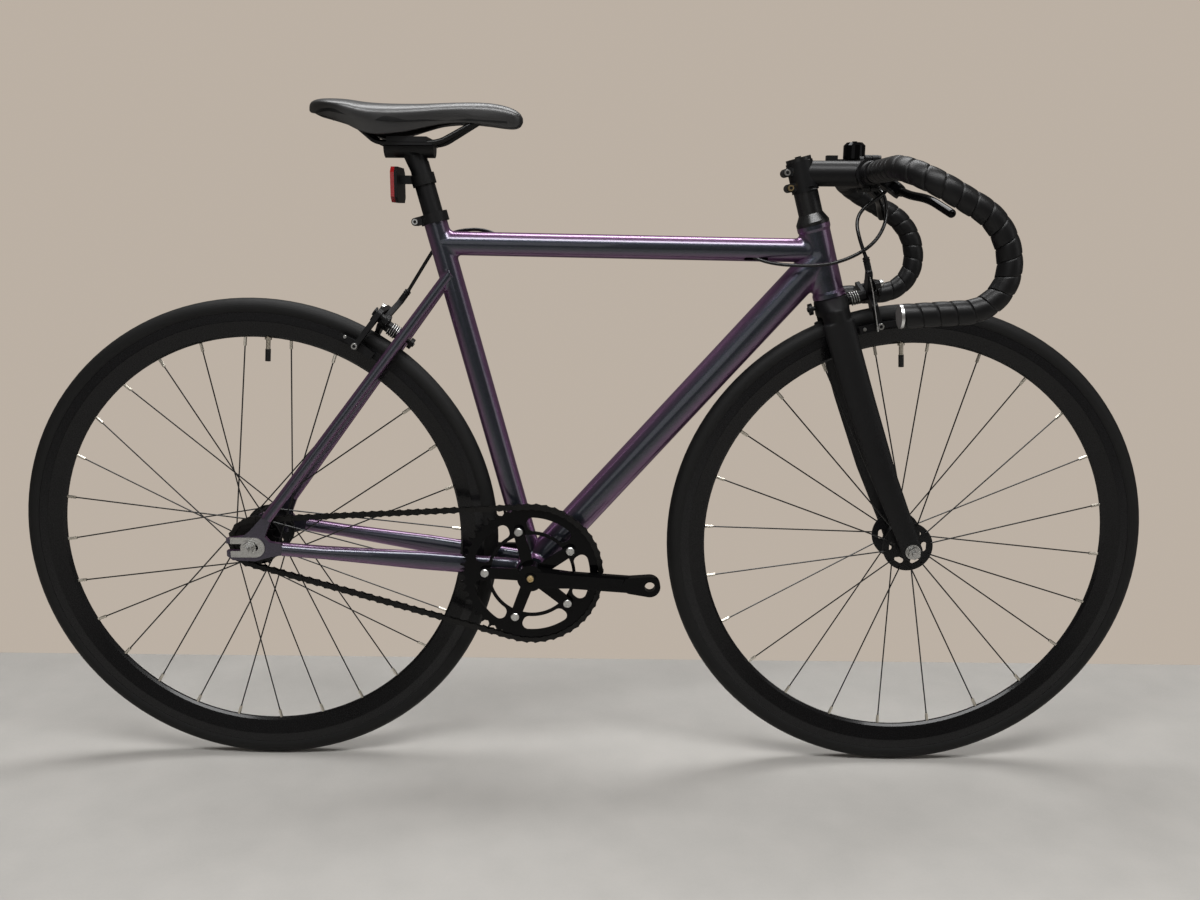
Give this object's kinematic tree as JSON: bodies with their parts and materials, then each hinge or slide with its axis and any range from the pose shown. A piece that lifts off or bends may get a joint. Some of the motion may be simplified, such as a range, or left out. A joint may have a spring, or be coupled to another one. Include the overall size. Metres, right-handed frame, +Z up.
{
  "type": "fixed gear bike",
  "caption": "Fixed gear track bike with drop bars, deep rims, cross-top brake levers, single chain drive and a slim saddle, held by its rear axle.",
  "frame": {"origin": "on the ground under the bike's middle, in the plane of the wheels, halfway between the tyre contacts", "axes": "+X forward, +Y to the rider's left, +Z up"},
  "size_m": [1.5849, 0.4296, 0.9309],
  "materials": {
    "frame_paint": "gloss",
    "bare_steel": "satin",
    "chrome": "polished",
    "black_alloy": "satin",
    "black_gloss": "gloss",
    "black_steel": "satin",
    "tyre": "matte",
    "tape": "matte",
    "housing": "satin",
    "black_plastic": "matte",
    "valve": "satin",
    "saddle": "satin",
    "lens": "gloss"
  },
  "bodies": {
    "frame": {"head_tube": "frame_paint", "top_tube": "frame_paint", "down_tube": "frame_paint", "seat_tube": "frame_paint", "bb_shell": "frame_paint", "dropouts": "frame_paint", "axle_plates": "bare_steel", "chainstays": "frame_paint", "seatstays": "frame_paint", "brake_bridge": "frame_paint", "seat_clamp": "black_alloy", "bearing_cups": "bare_steel", "rear_axle": "bare_steel", "chain": "black_steel", "rear_cable": "housing", "rear_cable_loop": "housing", "rear_brake_base": "black_alloy"},
    "steering": {"fork_crown": "black_alloy", "fork_blades": "black_alloy", "headset_stack": "black_alloy", "stem": "black_alloy", "stem_faceplate": "black_alloy", "stem_bolts": "bare_steel", "handlebar": "black_alloy", "bar_tape": "tape", "bar_plugs": "chrome", "lever_brackets": "black_alloy", "bell_base": "black_alloy", "bell_dome": "black_alloy", "front_brake_base": "black_alloy", "front_cable": "housing", "front_axle": "bare_steel"},
    "right_lever": {"lever_right": "black_gloss"},
    "left_lever": {"lever_left": "black_gloss"},
    "bell_thumb": {"bell_tab": "black_plastic"},
    "front_arm_a": {"front_brake_arm_a": "black_alloy"},
    "front_arm_b": {"front_brake_arm_b": "black_alloy"},
    "rear_arm_a": {"rear_brake_arm_a": "black_alloy"},
    "rear_arm_b": {"rear_brake_arm_b": "black_alloy"},
    "front_wheel": {"front_tyre": "tyre", "front_rim": "black_gloss", "front_spokes": "black_steel", "front_hub": "black_alloy", "front_valve": "valve"},
    "rear_wheel": {"rear_tyre": "tyre", "rear_rim": "black_gloss", "rear_spokes": "black_steel", "rear_hub": "black_alloy", "rear_cog": "black_steel", "rear_valve": "valve"},
    "crankset": {"crank_right": "black_gloss", "crank_left": "black_gloss", "chainring": "black_gloss", "crank_hardware": "bare_steel"},
    "saddle_post": {"seatpost": "black_alloy", "saddle_rails": "black_steel", "saddle_shell": "black_plastic", "saddle_cover": "saddle", "reflector_bracket": "black_plastic", "reflector_lens": "lens"}
  },
  "joints": [
    {"name": "steering_turn", "type": "hinge", "parent": "frame", "child": "steering", "pos_m": [0.43319, 0, 0.32949], "axis": [-0.2689, 0, 0.9632], "range_deg": [-75, 75], "deforming": ["rear_cable_loop"]},
    {"name": "front_wheel_spin", "type": "hinge", "parent": "steering", "child": "front_wheel", "pos_m": [0.4565, 0, 0.336], "axis": [0, 1, 0], "continuous": true},
    {"name": "rear_wheel_spin", "type": "hinge", "parent": "frame", "child": "rear_wheel", "pos_m": [-0.4565, 0, 0.336], "axis": [0, 1, 0], "continuous": true, "deforming": ["chain"]},
    {"name": "crank_spin", "type": "hinge", "parent": "frame", "child": "crankset", "pos_m": [-0.07048, 0, 0.294], "axis": [0, 1, 0], "continuous": true},
    {"name": "saddle_height", "type": "slide", "parent": "frame", "child": "saddle_post", "axis": [-0.2613, 0, 0.9652], "range_m": [-0.02, 0.05]},
    {"name": "right_lever_pull", "type": "hinge", "parent": "steering", "child": "right_lever", "pos_m": [0.40382, -0.052, 0.82129], "axis": [-0.6428, 0, -0.766], "range_deg": [0, 18], "stiffness_Nm_per_rad": 0.6},
    {"name": "left_lever_pull", "type": "hinge", "parent": "steering", "child": "left_lever", "pos_m": [0.40382, 0.052, 0.82129], "axis": [0.6428, 0, 0.766], "range_deg": [0, 18], "stiffness_Nm_per_rad": 0.6},
    {"name": "bell_tab_push", "type": "hinge", "parent": "steering", "child": "bell_thumb", "pos_m": [0.36978, 0.051, 0.85755], "axis": [0, 0, 1], "range_deg": [0, 20], "stiffness_Nm_per_rad": 0.05},
    {"name": "front_brake_close_a", "type": "hinge", "parent": "steering", "child": "front_arm_a", "pos_m": [0.37931, 0, 0.68199], "axis": [0.9632, 0, 0.2689], "range_deg": [0, 2.1]},
    {"name": "front_brake_close_b", "type": "hinge", "parent": "steering", "child": "front_arm_b", "pos_m": [0.37662, 0.02, 0.69162], "axis": [-0.9632, 0, -0.2689], "range_deg": [0, 1.7]},
    {"name": "rear_brake_close_a", "type": "hinge", "parent": "frame", "child": "rear_arm_a", "pos_m": [-0.27016, 0, 0.63474], "axis": [-0.7991, 0, 0.6012], "range_deg": [0, 2.1]},
    {"name": "rear_brake_close_b", "type": "hinge", "parent": "frame", "child": "rear_arm_b", "pos_m": [-0.26414, -0.02, 0.64273], "axis": [0.7991, 0, -0.6012], "range_deg": [0, 1.7]}
  ],
  "couplings": [
    {"joint": "crank_spin", "follows": "rear_wheel_spin", "ratio": 0.33333},
    {"joint": "front_brake_close_a", "follows": "right_lever_pull", "ratio": 0.11667},
    {"joint": "front_brake_close_b", "follows": "right_lever_pull", "ratio": 0.094444},
    {"joint": "rear_brake_close_a", "follows": "left_lever_pull", "ratio": 0.11667},
    {"joint": "rear_brake_close_b", "follows": "left_lever_pull", "ratio": 0.094444}
  ]
}
